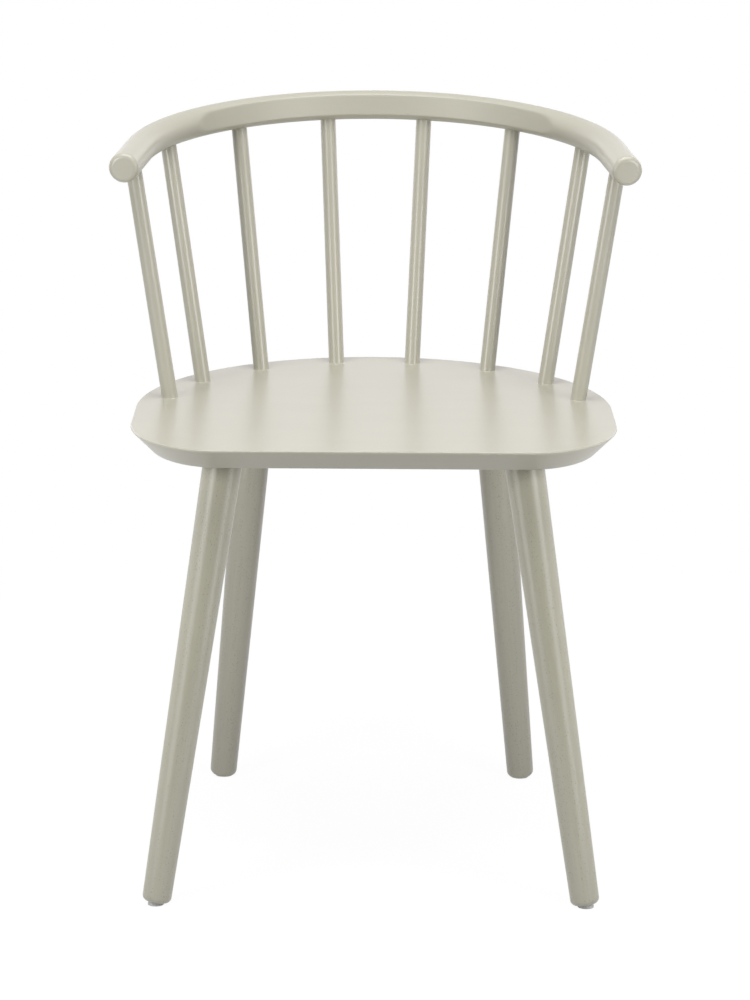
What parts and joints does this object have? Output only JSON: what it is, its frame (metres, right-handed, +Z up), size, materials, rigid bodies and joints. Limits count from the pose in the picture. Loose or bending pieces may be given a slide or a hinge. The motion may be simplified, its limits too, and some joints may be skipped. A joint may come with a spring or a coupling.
{
  "type": "dining chair",
  "caption": "Spindle-back dining chair with a bent horseshoe rail, a flat chamfered seat and splayed tapered legs, in satin grey-green paint.",
  "frame": {"origin": "on the floor, under the middle of the chair's bounding box", "axes": "+Z up, -Y to the front of the chair, +X to the right as seen from the front"},
  "size_m": [0.5244, 0.4871, 0.7436],
  "materials": {
    "paint": "satin grey-green paint over solid hardwood",
    "felt": "pressed grey-white felt",
    "bolt_steel": "bright zinc plating on steel",
    "insert_zinc": "raw die-cast zinc"
  },
  "bodies": {
    "root": {"seat": "paint", "back_rail": "paint", "spindle_left_1": "paint", "spindle_left_2": "paint", "spindle_left_3": "paint", "spindle_left_4": "paint", "spindle_right_1": "paint", "spindle_right_2": "paint", "spindle_right_3": "paint", "spindle_right_4": "paint", "leg_front_left": "paint", "leg_front_right": "paint", "leg_rear_left": "paint", "leg_rear_right": "paint", "felt_pad_front_left": "felt", "felt_pad_front_right": "felt", "felt_pad_rear_left": "felt", "felt_pad_rear_right": "felt", "hanger_bolt_front_left": "bolt_steel", "hanger_bolt_front_right": "bolt_steel", "hanger_bolt_rear_left": "bolt_steel", "hanger_bolt_rear_right": "bolt_steel", "threaded_insert_front_left": "insert_zinc", "threaded_insert_front_right": "insert_zinc", "threaded_insert_rear_left": "insert_zinc", "threaded_insert_rear_right": "insert_zinc"}
  },
  "joints": []
}
